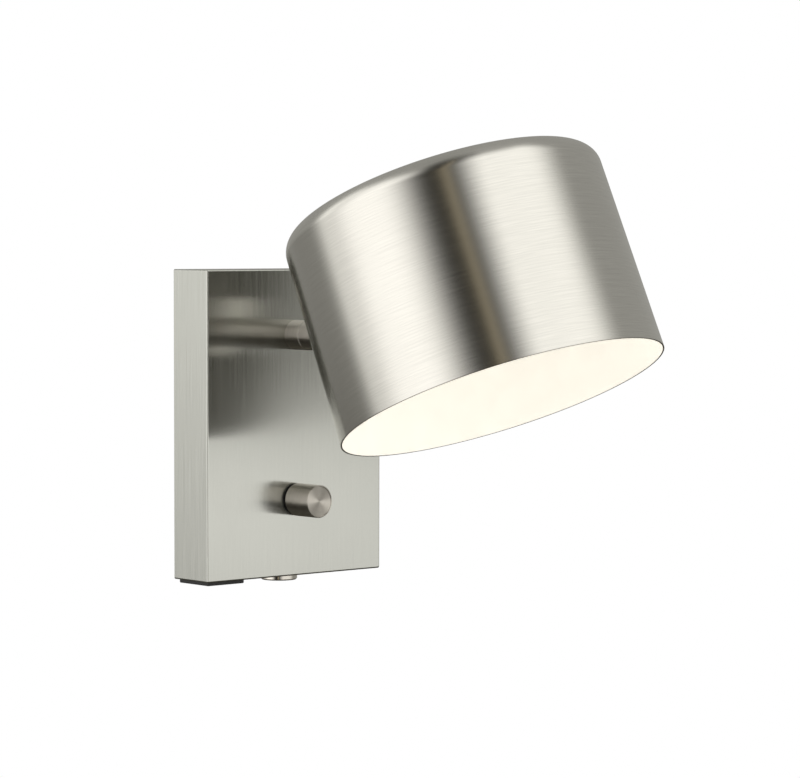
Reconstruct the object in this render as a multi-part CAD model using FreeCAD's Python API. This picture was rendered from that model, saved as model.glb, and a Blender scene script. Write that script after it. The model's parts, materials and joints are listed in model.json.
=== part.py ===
import FreeCAD, Part
import math
import os

from FreeCAD import Placement, Rotation, Vector

# A wall-mounted reading lamp: a folded metal box on the wall carries a short horizontal arm, and a
# drum shade tilts on the arm's end. Millimetres. The wall is the plane y = 0, the room lies at
# negative y and +z is up. A "depth" is a distance out from the wall, so y = -depth.

# ---------------------------------------------------------------- driving dimensions

# clearances
seat_gap = 0.05            # flat faces of pieces that turn or slide on each other
thread_gap = 0.05          # radial, screw in its hole
shaft_gap = 0.05           # radial, running fits
screw_hole_gap = 0.3       # radial, plain holes for screws
driver_slot = 0.7          # width of a screw's driver slot

# wall box, a cover of folded sheet with an open back
box_width = 110.0
box_height = 150.0
box_depth = 26.0
box_sheet = 1.0
box_bend = 0.8             # outside radius of the folds

# wall plate inside the box, with four bent tabs that hold the box
plate_width = 100.0
plate_thick = 1.5
plate_inset = 0.2          # between a tab and the box wall it backs
tab_width = 14.0
tab_reach = 20.0
tab_offset = 20.0          # tab centre from the middle of the plate
wall_slot_spacing = 60.0
wall_slot_length = 12.0
wall_slot_width = 4.5
cable_hole = 20.0          # diameter, supply cable through the plate

# countersunk screws that hold the box on the tabs
cover_screw_size = 3.0
cover_screw_head = 5.6
cover_screw_length = 7.0
cover_screw_depth = 13.0   # from the wall

# earth screw and its cupped washer on the wall plate
earth_left = 30.0          # left of the middle of the plate
earth_up = 25.0
earth_cup_radius = 4.0
earth_cup_thick = 0.8
earth_head = 6.0
earth_head_thick = 2.2

# arm
arm_drop = 32.0            # arm's axis below the box's top
arm_diameter = 14.5
arm_tube_wall = 1.0
arm_reach = 67.0           # box front to the tilt pivot
arm_chamfer = 0.4
collar_length = 9.6        # fixed collar on the box front
collar_thread = 12.0
swivel_washer_thick = 0.4
spindle_thread = 8.0
spindle_bore = 5.0
spindle_plug = 12.0        # length of the spindle's head inside the tube
backing_size = 36.0
backing_thick = 2.0
collar_nut_flats = 17.0
collar_nut_thick = 4.0
swivel_nut_flats = 13.0
swivel_nut_thick = 4.0
spring_washer_thick = 0.6
spindle_flat = 3.4         # flat on the spindle, from its axis

# swivel stops: a tab on a washer that turns with the arm, and two pins in the backing plate
swivel_limit = 90.0        # degrees each way from upright
stop_washer_thick = 1.0
stop_radius = 11.5
stop_tab_width = 4.0
stop_pin_diameter = 2.0
stop_gap = 0.3             # left between the tab and a pin at the end of the swivel

# knuckle at the arm's end
knuckle_width = 14.0
knuckle_gap = 7.0          # slot between the cheeks, for the lead
knuckle_neck = 4.0         # round neck between the tube and the cheeks
knuckle_relief = 9.0       # cheeks' length from neck to pivot
knuckle_spigot = 8.0
knuckle_bore = 6.0
tilt_screw_size = 4.0
tilt_shoulder = 5.0
tilt_head = 8.0
tilt_head_thick = 2.4
tilt_washer_thick = 0.6
tilt_washer_size = 13.0
tilt_spring_thick = 0.6
tilt_spring_size = 9.0

# shade, a spun shell with a closed top
shade_mouth_radius = 77.0
shade_height = 100.0
shade_draft = 1.5          # how much smaller the radius is at the top
shade_sheet = 0.8
shade_round = 9.0          # outside radius between wall and top
pivot_up = 53.0            # tilt pivot above the mouth, along the shade's axis
pivot_inset = 14.0         # tilt pivot inside the rear wall's outer face
slot_gap = 0.6             # slot in the rear wall, round the arm
tilt_low = 0.0             # degrees, mouth straight down
tilt_high = 45.0

# pose in which the lamp is modelled
head_tilt = 22.3           # degrees, mouth turned out into the room
head_swivel = -3.2         # degrees about the arm

# shade carrier and what hangs from it
carrier_radius = 30.0
carrier_sheet = 1.5
ear_boss = 7.0             # radius of the ear round the pivot
ear_width = 8.0
stud_circle = 20.0         # radius of the circle of welded studs
stud_size = 4.0
stud_length = 5.4
stud_nut_flats = 7.0
stud_nut_thick = 3.2
holder_radius = 37.0
holder_height = 12.0
holder_ring = 7.0          # width of the holder's rim
holder_web = 2.0
holder_recess = 5.0        # open space under the web
holder_post = 4.0          # radius of the screw posts
holder_post_offset = 12.0
holder_screw_size = 3.5
holder_screw_head = 6.5
holder_screw_head_thick = 2.2
lamp_radius = 37.5
lamp_body_height = 14.0
lamp_cover_radius = 35.0
lamp_cover_height = 7.0
lamp_cover_round = 5.0
lamp_pin_spacing = 53.0
lamp_pin_diameter = 3.0
lamp_pin_head = 5.0
lamp_pin_length = 6.5

# dimmer and its knob
knob_rise = 37.5           # knob's axis above the box's bottom
knob_diameter = 16.0
knob_reach = 18.0          # box front to the knob's face
knob_gap = 0.6             # between the knob and the box front
knob_rim = 0.6             # bright rim round the dished face
knob_dish = 0.3
knob_recess_diameter = 13.0
knob_recess = 5.0
shaft_diameter = 6.0
shaft_flat = 2.4           # flat on the shaft, from its axis
shaft_end = 3.0            # solid knob left in front of the shaft
dimmer_bush = 7.0
dimmer_bush_reach = 4.0
dimmer_can = 17.0
dimmer_can_depth = 10.0
dimmer_nut_flats = 10.0
dimmer_nut_thick = 2.4
dimmer_washer_size = 12.0
dimmer_washer_thick = 0.5
grub_screw_size = 3.0
dimmer_board_width = 38.0
dimmer_board_height = 28.0
board_thick = 1.6
choke_left = 11.0          # choke's centre, left of the knob's axis
choke_up = 6.0             # and above it
choke_radius = 5.5
choke_bore = 2.0
choke_depth = 7.0
capacitor_left = 17.0
capacitor_width = 12.0
capacitor_size = 6.0
capacitor_margin = 5.0     # above the board's lower edge
capacitor_round = 0.8
transistor_left = 1.0
transistor_up = 1.0
transistor_width = 10.0
transistor_height = 9.0
transistor_thick = 4.4

# push switch in the box's bottom
switch_bezel = 18.0
switch_bezel_height = 2.8
switch_chamfer = 0.6
switch_thread = 16.0
switch_length = 13.0
switch_lip = 2.4           # inner lip that holds the button in
switch_barrel_wall = 1.2
switch_button_size = 12.0
switch_button_inset = 0.2
switch_button_length = 11.4
switch_floor = 3.0         # thickness of the button's face
switch_nut_size = 20.0
switch_nut_thick = 3.0
switch_block_size = 14.0
switch_block_length = 7.0
switch_spring_size = 8.0
switch_spring_wall = 1.0

# charging socket in the box's bottom
socket_bezel = 22.0
socket_bezel_height = 1.6
socket_bezel_inset = 0.8   # bezel edge from the box's left and front faces
socket_body = 19.0
socket_body_height = 24.0
socket_cutout_gap = 0.2
socket_clip = 0.6
socket_clip_half = 3.0
socket_clip_height = 2.5
socket_clip_gap = 0.1      # over the box's bottom sheet
socket_bezel_round = 0.5
shell_gap = 0.1            # between the shell and its pocket
shell_inset = 0.4          # shell's mouth above the bezel's face
shell_width = 13.2
shell_height = 5.8
shell_wall = 0.35
shell_depth = 12.0
tongue_width = 11.1
tongue_thick = 1.9
tongue_inset = 1.2
converter_width = 17.0
converter_height = 22.0
coil_radius = 4.5
coil_left = 3.0            # left of the socket's middle
coil_up = 13.0             # above the socket's top
coil_thick = 5.0
reservoir_radius = 3.0
reservoir_right = 4.5
reservoir_up = 6.0
reservoir_length = 9.0

# terminal block on the wall plate
pole_count = 5
pole_pitch = 8.0
pole_bore = 3.6
terminal_width = 14.0
terminal_depth = 13.0
terminal_margin = 1.0
terminal_left = 30.0       # its left side from the middle of the box
terminal_rise = 22.0       # lowest pole above the box's bottom
terminal_screw_size = 2.6
terminal_screw_length = 2.0
terminal_screw_inset = 3.5 # from the block's sides
terminal_round = 0.6
fixing_head = 5.6          # screw that holds the block on the plate
fixing_head_thick = 2.0
fixing_pit_radius = 3.2
fixing_pit_depth = 4.0

# leads
lamp_lead_size = 3.0
core_size = 1.8
lead_crossing = 2.0        # between the socket lead and the switch leads that pass over it
lead_depth = 6.5           # where the leads leave the terminal block
lead_entry = 3.0           # how far a lead goes into a pole
lead_clear = 9.0           # lamp lead beside the terminal block
lead_cross_low = 32.0      # below the arm, where the lamp lead starts across
lead_cross_high = 9.0      # below the arm, where it turns in behind the spindle
lead_cross_side = 12.0
corner_share = 0.45        # share of a run that the bend at its end takes

# ---------------------------------------------------------------- derived places

box_front = box_depth
inner_front = box_depth - box_sheet
inner_side = box_width / 2 - box_sheet
inner_low = -box_height / 2 + box_sheet
tab_face = box_height / 2 - box_sheet - plate_inset
arm_height = box_height / 2 - arm_drop
knob_height = knob_rise - box_height / 2
terminal_low_pole = terminal_rise - box_height / 2
switch_depth = box_depth / 2
arm_radius = arm_diameter / 2
tube_inner = arm_radius - arm_tube_wall
pivot_depth = box_depth + arm_reach
seam_depth = box_front + collar_length
tube_start = seam_depth + swivel_washer_thick
neck_depth = pivot_depth - knuckle_relief
tube_end = neck_depth - knuckle_neck
spindle_radius = spindle_thread / 2
backing_depth = inner_front - backing_thick
collar_end = backing_depth - collar_nut_thick
stop_washer_depth = collar_end - seat_gap - stop_washer_thick
spring_washer_depth = stop_washer_depth - spring_washer_thick
swivel_nut_depth = spring_washer_depth - swivel_nut_thick
spindle_end = swivel_nut_depth - 0.8
cheek = knuckle_width / 2
ear_inner = cheek + tilt_washer_thick + seat_gap
ear_outer = ear_inner + carrier_sheet
spring_face = ear_outer + seat_gap
screw_face = spring_face + tilt_spring_thick
shade_ceiling = shade_height - shade_sheet
carrier_face = shade_ceiling - carrier_sheet
holder_low = carrier_face - holder_height
lamp_low = holder_low - lamp_body_height
board_depth = inner_front - dimmer_can_depth - board_thick
knob_front = box_front + knob_reach
knob_back = box_front + knob_gap
shaft_front = knob_front - shaft_end
bezel_low = -box_height / 2 - switch_bezel_height
barrel_top = -box_height / 2 + switch_length
button_low = bezel_low + switch_button_inset
button_top = button_low + switch_button_length
socket_x = -box_width / 2 + socket_bezel_inset + socket_bezel / 2
socket_depth = box_depth - socket_bezel_inset - socket_bezel / 2
socket_low = -box_height / 2 - socket_bezel_height
socket_top = -box_height / 2 + socket_body_height
terminal_low = terminal_low_pole - pole_pitch / 2 - terminal_margin
terminal_high = terminal_low + pole_count * pole_pitch + 2 * terminal_margin
pole_heights = [terminal_low_pole + n * pole_pitch for n in range(pole_count)]

OUT = Vector(0, -1, 0)
UP = Vector(0, 0, 1)
DOWN = Vector(0, 0, -1)
RIGHT = Vector(1, 0, 0)

parts = {}


# ---------------------------------------------------------------- shape helpers

def at(x, depth, z):
    """A point given by its depth from the wall."""
    return Vector(x, -depth, z)


def block(x0, x1, depth0, depth1, z0, z1):
    return Part.makeBox(x1 - x0, depth1 - depth0, z1 - z0, Vector(x0, -depth1, z0))


def rod_out(x, z, radius, depth0, depth1):
    """A round bar square to the wall, between two depths."""
    return Part.makeCylinder(radius, depth1 - depth0, at(x, depth0, z), OUT)


def rod_up(x, depth, radius, z0, z1):
    return Part.makeCylinder(radius, z1 - z0, at(x, depth, z0), UP)


def turned(profile):
    """A turned piece about +z from the (radius, height) points of its half section."""
    corners = [Vector(radius, 0, height) for radius, height in profile]
    face = Part.Face(Part.makePolygon(corners + corners[:1]))
    return face.revolve(Vector(0, 0, 0), UP, 360)


def hexagon(flats, height):
    """A hexagonal bar about +z, with its corners trimmed as on a nut."""
    corner = flats / math.sqrt(3)
    points = [Vector(corner * math.cos(math.radians(60 * n)),
                     corner * math.sin(math.radians(60 * n)), 0) for n in range(7)]
    bar = Part.Face(Part.makePolygon(points)).extrude(Vector(0, 0, height))
    trim = (corner - flats / 2) * 0.9
    cone = turned([(0, 0), (corner - trim, 0), (corner, trim), (corner, height - trim),
                   (corner - trim, height), (0, height)])
    return bar.common(cone)


def nut(flats, thick, hole_radius):
    return hexagon(flats, thick).cut(Part.makeCylinder(hole_radius, thick))


def washer(outer_radius, hole_radius, thick):
    return Part.makeCylinder(outer_radius, thick).cut(Part.makeCylinder(hole_radius, thick))


def aim(shape, point, direction):
    """Stand a piece made about +z at a point, along a direction."""
    placed = shape.copy()
    placed.Placement = Placement(point, Rotation(UP, direction))
    return placed


def slot(half_length, half_width, thick):
    """A slot along x with round ends, about the origin."""
    straight = half_length - half_width
    bar = Part.makeBox(2 * straight, 2 * half_width, thick, Vector(-straight, -half_width, 0))
    for end in (-straight, straight):
        bar = bar.fuse(Part.makeCylinder(half_width, thick, Vector(end, 0, 0)))
    return bar


def tube_along(points, diameter):
    """A lead through the points: straight runs joined by tangent arcs."""
    edges = []
    start = points[0]
    for before, corner, after in zip(points, points[1:], points[2:]):
        back = before - corner
        ahead = after - corner
        reach = corner_share * min(back.Length, ahead.Length)
        half = back.getAngle(ahead) / 2
        back.normalize()
        ahead.normalize()
        inward = back + ahead
        inward.normalize()
        radius = reach * math.tan(half)
        centre = corner + inward * (reach / math.cos(half))
        enter = corner + back * reach
        leave = corner + ahead * reach
        edges.append(Part.LineSegment(start, enter).toShape())
        edges.append(Part.Arc(enter, centre - inward * radius, leave).toShape())
        print("lead bend radius", round(radius, 1), "mm on a lead of", diameter)
        start = leave
    edges.append(Part.LineSegment(start, points[-1]).toShape())
    path = Part.Wire(edges)
    ring = Part.Wire(Part.makeCircle(diameter / 2, points[0], points[1] - points[0]))
    tube = path.makePipeShell([ring], True, False)
    section = math.pi * diameter ** 2 / 4
    print("lead volume over section times length", round(tube.Volume / (section * path.Length), 3))
    return tube


def on_arm(shape):
    """Turn a piece of the straight arm to the modelled swivel."""
    turned_piece = shape.copy()
    turned_piece.rotate(at(0, 0, arm_height), Vector(0, 1, 0), head_swivel)
    return turned_piece


def shade_radius(height):
    """The shade's outside radius at a height above its mouth."""
    return shade_mouth_radius - shade_draft * height / shade_height


pivot_back = shade_radius(pivot_up) - pivot_inset


def on_head(shape):
    """Carry a piece from the shade's own frame to its place.

    In the shade's frame the mouth's centre is the origin, +z runs up the shade's axis and +y points
    back at the arm.
    """
    placed = shape.copy()
    placed.translate(Vector(0, -pivot_back, -pivot_up))
    placed.rotate(Vector(0, 0, 0), RIGHT, -head_tilt)
    placed.translate(at(0, pivot_depth, arm_height))
    return on_arm(placed)


def head_point(x, back, height):
    """A point of the shade's frame, as it lies once the piece is in place, before the swivel."""
    turn = Rotation(RIGHT, -head_tilt)
    return turn.multVec(Vector(x, back - pivot_back, height - pivot_up)) + at(0, pivot_depth, arm_height)


# ---------------------------------------------------------------- wall box

def countersunk_screw(size, head, length):
    """Head face at z = 0, shank along +z, with a cross recess for a driver."""
    sink = (head - size) / 2
    screw = turned([(0, 0), (head / 2, 0), (size / 2, sink), (size / 2, length), (0, length)])
    for turn in (0, 90):
        bar = Part.makeBox(head * 0.6, driver_slot, sink * 0.8, Vector(-head * 0.3, -driver_slot / 2, 0))
        bar.rotate(Vector(0, 0, 0), UP, turn)
        screw = screw.cut(bar)
    return screw


def cover_screw_places():
    """Each box screw: the point of its head on the box's face, and the way it points."""
    for x in (-tab_offset, tab_offset):
        yield at(x, cover_screw_depth, box_height / 2), DOWN
        yield at(x, cover_screw_depth, -box_height / 2), UP


def cover_screw_holes(gap):
    """The cover screws' outlines, grown by a radial gap, to cut their holes with."""
    sink = (cover_screw_head - cover_screw_size) / 2
    outline = turned([(0, 0), (cover_screw_head / 2 + gap, 0), (cover_screw_size / 2 + gap, sink),
                      (cover_screw_size / 2 + gap, cover_screw_length), (0, cover_screw_length)])
    return [aim(outline, point, way) for point, way in cover_screw_places()]


def make_wall_plate():
    half_width = plate_width / 2
    plate = block(-half_width, half_width, 0, plate_thick, -tab_face, tab_face)
    for x in (-tab_offset, tab_offset):
        for low in (-tab_face, tab_face - plate_thick):
            tab = block(x - tab_width / 2, x + tab_width / 2, 0, tab_reach, low, low + plate_thick)
            plate = plate.fuse(tab)
    plate = plate.cut(rod_out(0, 0, cable_hole / 2, 0, plate_thick))
    wall_slot = slot(wall_slot_length / 2, wall_slot_width / 2, plate_thick)
    for x in (-wall_slot_spacing / 2, wall_slot_spacing / 2):
        plate = plate.cut(aim(wall_slot, at(x, 0, 0), OUT))
    for place in (earth_screw_place, terminal_screw_place):
        plate = plate.cut(rod_out(place.x, place.z, cover_screw_size / 2 + thread_gap, 0, plate_thick))
    for hole in cover_screw_holes(thread_gap):
        plate = plate.cut(hole)
    return plate.removeSplitter()


def make_box_cover():
    outside = block(-box_width / 2, box_width / 2, 0, box_depth, -box_height / 2, box_height / 2)
    folds = [edge for edge in outside.Edges if edge.BoundBox.YMin < -box_depth + 0.1]
    corners = [edge for edge in folds if edge.BoundBox.YMax > -0.1]
    outside = outside.makeFillet(box_bend, folds + [e for e in corners if e not in folds])
    inside = block(-inner_side, inner_side, 0, inner_front, inner_low, -inner_low)
    cover = outside.cut(inside)
    cover = cover.cut(rod_out(0, arm_height, collar_thread / 2 + thread_gap, inner_front, box_front))
    cover = cover.cut(rod_out(0, knob_height, dimmer_bush / 2 + thread_gap, inner_front, box_front))
    cover = cover.cut(rod_up(0, switch_depth, switch_thread / 2 + thread_gap, -box_height / 2, inner_low))
    half = socket_body / 2 + socket_cutout_gap
    cover = cover.cut(block(socket_x - half, socket_x + half, socket_depth - half, socket_depth + half,
                            -box_height / 2, inner_low))
    for hole in cover_screw_holes(thread_gap):
        cover = cover.cut(hole)
    return cover


def make_cover_screws():
    screw = countersunk_screw(cover_screw_size, cover_screw_head, cover_screw_length)
    return [aim(screw, point, way) for point, way in cover_screw_places()]


def pan_screw(size, head, head_thick, length):
    """Underside of the head at z = 0, head along +z, shank along -z, with a slot."""
    screw = turned([(0, -length), (size / 2, -length), (size / 2, 0), (head / 2, 0),
                    (head / 2, head_thick * 0.6), (head * 0.35, head_thick), (0, head_thick)])
    return screw.cut(Part.makeBox(head, driver_slot, head_thick / 2,
                                  Vector(-head / 2, -driver_slot / 2, head_thick / 2)))


earth_screw_place = at(-earth_left, plate_thick, earth_up)
terminal_screw_place = at(terminal_left + terminal_width / 2, plate_thick,
                          terminal_low_pole + 2.5 * pole_pitch)


def make_earth_fixing():
    cup = washer(earth_cup_radius, cover_screw_size / 2 + thread_gap, earth_cup_thick)
    screw = pan_screw(cover_screw_size, earth_head, earth_head_thick, earth_cup_thick + plate_thick)
    parts["earth_washer"] = aim(cup, earth_screw_place, OUT)
    parts["earth_screw"] = aim(screw, earth_screw_place + OUT * earth_cup_thick, OUT)


# ---------------------------------------------------------------- terminal block and leads

def make_terminal_block():
    right = terminal_left + terminal_width
    middle = terminal_left + terminal_width / 2
    top = plate_thick + terminal_depth
    body = block(terminal_left, right, plate_thick, top, terminal_low, terminal_high)
    body = body.makeFillet(terminal_round, [e for e in body.Edges if e.BoundBox.YMax < -top + 0.1])
    screws = []
    screw = pan_screw(terminal_screw_size, terminal_screw_size + 0.6, 1.2, terminal_screw_length)
    screw_rest = lead_depth + lamp_lead_size / 2 + seat_gap + terminal_screw_length
    for height in pole_heights:
        bore = Part.makeCylinder(pole_bore / 2, terminal_width, at(terminal_left, lead_depth, height), RIGHT)
        body = body.cut(bore)
        for x in (terminal_left + terminal_screw_inset, right - terminal_screw_inset):
            pit = rod_out(x, height, terminal_screw_size / 2 + 0.5, lead_depth, top)
            body = body.cut(pit)
            screws.append(aim(screw, at(x, screw_rest, height), OUT))
    hole = rod_out(middle, terminal_screw_place.z, cover_screw_size / 2 + screw_hole_gap, plate_thick, top)
    pit_floor = top - fixing_pit_depth
    head_pit = rod_out(middle, terminal_screw_place.z, fixing_pit_radius, pit_floor, top)
    body = body.cut(hole).cut(head_pit)
    fixing = pan_screw(cover_screw_size, fixing_head, fixing_head_thick, pit_floor)
    parts["terminal_block"] = body
    parts["terminal_screws"] = screws
    parts["terminal_fixing_screw"] = aim(fixing, at(middle, pit_floor, terminal_screw_place.z), OUT)


def make_leads():
    inside_pole = terminal_left + lead_entry
    board_back = board_depth
    lamp_pole = pole_heights[4]
    behind_spindle = plate_thick + lamp_lead_size / 2 + 1.0
    parts["lamp_lead"] = tube_along([
        at(inside_pole, lead_depth, lamp_pole),
        at(terminal_left - lead_clear, lead_depth, lamp_pole),
        at(terminal_left - lead_clear, lead_depth, arm_height - lead_cross_low),
        at(lead_cross_side, behind_spindle + 0.3, arm_height - lead_cross_high),
        at(0, behind_spindle, arm_height),
        at(0, pivot_depth - 0.6, arm_height)], lamp_lead_size)
    parts["dimmer_leads"] = [tube_along([
        at(inside_pole, lead_depth, height),
        at(dimmer_board_width / 2 + 3, lead_depth, height),
        at(dimmer_board_width / 2 - 3.5, lead_depth - 1, height - 1),
        at(dimmer_board_width / 2 - 3.5, board_back, height - 1)], core_size)
        for height in (pole_heights[2], pole_heights[3])]
    lead_z = pole_heights[0]
    back_depth = plate_thick + lamp_lead_size / 2 + 1.0
    parts["socket_lead"] = tube_along([
        at(inside_pole, lead_depth, lead_z),
        at(22, lead_depth, lead_z),
        at(8, back_depth, lead_z),
        at(-12, back_depth, lead_z),
        at(-25, lead_depth, lead_z),
        at(socket_x + socket_body / 2, lead_depth, lead_z)], lamp_lead_size)
    switch_top = barrel_top + switch_block_length
    board_low = knob_height - dimmer_board_height / 2
    turn_depth = back_depth + lamp_lead_size / 2 + lead_crossing + core_size / 2
    parts["switch_leads"] = [tube_along([
        at(x, board_back, board_low + 7),
        at(x, turn_depth, board_low + 7),
        at(x, turn_depth, switch_top)], core_size) for x in (-3, 3)]


# ---------------------------------------------------------------- dimmer, knob and boards

def make_dimmer():
    can = block(-dimmer_can / 2, dimmer_can / 2, inner_front - dimmer_can_depth, inner_front,
                knob_height - dimmer_can / 2, knob_height + dimmer_can / 2)
    can = can.makeFillet(1.0, [e for e in can.Edges if e.BoundBox.YLength > dimmer_can_depth - 0.1])
    bush_front = box_front + dimmer_bush_reach
    body = can.fuse(rod_out(0, knob_height, dimmer_bush / 2, inner_front, bush_front))
    shaft_back = inner_front - dimmer_can_depth / 2
    body = body.cut(rod_out(0, knob_height, shaft_diameter / 2 + shaft_gap, shaft_back, bush_front))
    parts["dimmer_body"] = body.removeSplitter()
    ring = washer(dimmer_washer_size / 2, dimmer_bush / 2 + thread_gap, dimmer_washer_thick)
    parts["dimmer_washer"] = aim(ring, at(0, box_front, knob_height), OUT)
    lock = nut(dimmer_nut_flats, dimmer_nut_thick, dimmer_bush / 2 + thread_gap)
    parts["dimmer_nut"] = aim(lock, at(0, box_front + dimmer_washer_thick, knob_height), OUT)
    half_width = dimmer_board_width / 2
    half_height = dimmer_board_height / 2
    parts["dimmer_board"] = block(-half_width, half_width, board_depth, board_depth + board_thick,
                                  knob_height - half_height, knob_height + half_height)
    make_dimmer_components()
    make_knob(shaft_back + 0.3)


def make_dimmer_components():
    """Choke, capacitor and power transistor on the back of the dimmer's board."""
    back = board_depth
    low = knob_height - dimmer_board_height / 2
    choke = washer(choke_radius, choke_bore, choke_depth)
    choke = aim(choke, at(-choke_left, back - choke_depth, knob_height + choke_up), OUT)
    capacitor_low = low + capacitor_margin
    capacitor = block(-capacitor_left, capacitor_width - capacitor_left, back - capacitor_size, back,
                      capacitor_low, capacitor_low + capacitor_size)
    capacitor = capacitor.makeFillet(capacitor_round, capacitor.Edges)
    transistor_low = knob_height + transistor_up
    transistor = block(-transistor_left, transistor_width - transistor_left, back - transistor_thick,
                       back, transistor_low, transistor_low + transistor_height)
    parts["dimmer_components"] = [choke, capacitor, transistor]


def make_knob(shaft_back):
    """The knob, its shaft and the grub screw between them, all turning together."""
    radius = knob_diameter / 2
    length = knob_front - knob_back
    recess = knob_recess_diameter / 2
    bore = shaft_diameter / 2 + 0.02
    bore_end = shaft_front - knob_back + 0.3
    rim = radius - knob_rim
    knob = turned([(recess, 0), (radius - 0.3, 0), (radius, 0.3), (radius, length - 0.3),
                   (radius - 0.3, length), (rim, length), (rim - 0.2, length - knob_dish),
                   (0, length - knob_dish), (0, bore_end), (bore, bore_end), (bore, knob_recess),
                   (recess, knob_recess)])
    knob = aim(knob, at(0, knob_back, knob_height), OUT)
    screw_depth = knob_back + knob_recess + (bore_end - knob_recess) / 2
    hole = Part.makeCylinder(grub_screw_size / 2 + thread_gap, radius + 1,
                             at(0, screw_depth, knob_height), DOWN)
    parts["dimmer_knob"] = knob.cut(hole)
    shaft = rod_out(0, knob_height, shaft_diameter / 2, shaft_back, shaft_front)
    flat = block(-shaft_diameter, shaft_diameter, box_front + dimmer_bush_reach + 0.5, shaft_front,
                 knob_height - shaft_diameter, knob_height - shaft_flat)
    parts["dimmer_shaft"] = shaft.cut(flat)
    grub = Part.makeCylinder(grub_screw_size / 2, radius - 0.8 - shaft_flat,
                             at(0, screw_depth, knob_height - shaft_flat), DOWN)
    socket = aim(hexagon(1.5, 1.6), at(0, screw_depth, knob_height - radius + 0.8), UP)
    parts["knob_grub_screw"] = grub.cut(socket)


# ---------------------------------------------------------------- push switch

def make_switch():
    skirt = switch_spring_size / 2 + 1.0
    outer = switch_bezel / 2
    barrel = switch_thread / 2
    bore = switch_button_size / 2 + 2 * shaft_gap
    low = switch_bezel_height
    wide = barrel - switch_barrel_wall
    body = turned([(bore, 0), (outer - switch_chamfer, 0), (outer, switch_chamfer), (outer, low),
                   (barrel, low), (barrel, low + switch_length), (wide, low + switch_length),
                   (wide, switch_lip), (bore, switch_lip)])
    parts["switch_barrel"] = aim(body, at(0, switch_depth, bezel_low), UP)
    ring = washer(switch_nut_size / 2, barrel + thread_gap, switch_nut_thick)
    for turn in range(0, 360, 90):
        notch = Part.makeBox(2.0, 3.0, switch_nut_thick, Vector(-1.0, switch_nut_size / 2 - 1.2, 0))
        notch.rotate(Vector(0, 0, 0), UP, turn)
        ring = ring.cut(notch)
    parts["switch_ring_nut"] = aim(ring, at(0, switch_depth, inner_low), UP)
    radius = switch_button_size / 2
    flange = wide - 2 * shaft_gap
    shoulder = switch_lip - switch_button_inset + seat_gap
    button = turned([(0, 0), (radius - 0.4, 0), (radius, 0.4), (radius, shoulder), (flange, shoulder),
                     (flange, switch_button_length), (skirt, switch_button_length),
                     (skirt, switch_floor), (0, switch_floor)])
    parts["switch_button"] = aim(button, at(0, switch_depth, button_low), UP)
    contact = rod_up(0, switch_depth, switch_block_size / 2, barrel_top,
                     barrel_top + switch_block_length)
    plug = rod_up(0, switch_depth, switch_spring_size / 2, button_top, barrel_top)
    parts["switch_contact_block"] = contact.fuse(plug).removeSplitter()
    spring = washer(switch_spring_size / 2, switch_spring_size / 2 - switch_spring_wall,
                    switch_button_length - switch_floor)
    parts["switch_spring"] = aim(spring, at(0, switch_depth, button_low + switch_floor), UP)


# ---------------------------------------------------------------- charging socket

def make_socket():
    half_bezel = socket_bezel / 2
    half_body = socket_body / 2
    floor = -box_height / 2
    bezel = block(socket_x - half_bezel, socket_x + half_bezel, socket_depth - half_bezel,
                  socket_depth + half_bezel, socket_low, floor)
    low_edges = [edge for edge in bezel.Edges if edge.BoundBox.ZMax < socket_low + 0.1]
    bezel = bezel.makeFillet(socket_bezel_round, low_edges)
    body = block(socket_x - half_body, socket_x + half_body, socket_depth - half_body,
                 socket_depth + half_body, floor, socket_top)
    clip_reach = half_body + socket_clip
    clip_low = inner_low + socket_clip_gap
    clips = block(socket_x - clip_reach, socket_x + clip_reach, socket_depth - socket_clip_half,
                  socket_depth + socket_clip_half, clip_low, clip_low + socket_clip_height)
    pocket_x = shell_width / 2 + shell_gap
    pocket_y = shell_height / 2 + shell_gap
    shell_top = socket_low + shell_depth + 1.0
    pocket = block(socket_x - pocket_x, socket_x + pocket_x, socket_depth - pocket_y,
                   socket_depth + pocket_y, socket_low, shell_top)
    parts["socket_housing"] = bezel.fuse(body).fuse(clips).cut(pocket).removeSplitter()
    shell_low = socket_low + shell_inset
    shell = block(socket_x - shell_width / 2, socket_x + shell_width / 2,
                  socket_depth - shell_height / 2, socket_depth + shell_height / 2,
                  shell_low, shell_top)
    opening = block(socket_x - shell_width / 2 + shell_wall, socket_x + shell_width / 2 - shell_wall,
                    socket_depth - shell_height / 2 + shell_wall,
                    socket_depth + shell_height / 2 - shell_wall, shell_low, shell_top - shell_wall)
    parts["socket_shell"] = shell.cut(opening)
    tongue_back = socket_depth - shell_height / 2 + shell_wall + 0.7
    parts["socket_tongue"] = block(socket_x - tongue_width / 2, socket_x + tongue_width / 2,
                                   tongue_back, tongue_back + tongue_thick,
                                   shell_low + tongue_inset, shell_top - shell_wall)
    board = block(socket_x - converter_width / 2, socket_x + converter_width / 2, socket_depth,
                  socket_depth + board_thick, socket_top, socket_top + converter_height)
    parts["converter_board"] = board
    coil = rod_out(socket_x - coil_left, socket_top + coil_up, coil_radius,
                   socket_depth - coil_thick, socket_depth)
    reservoir = rod_out(socket_x + reservoir_right, socket_top + reservoir_up, reservoir_radius,
                        socket_depth - reservoir_length, socket_depth)
    parts["converter_components"] = [coil, reservoir]


# ---------------------------------------------------------------- arm

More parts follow.
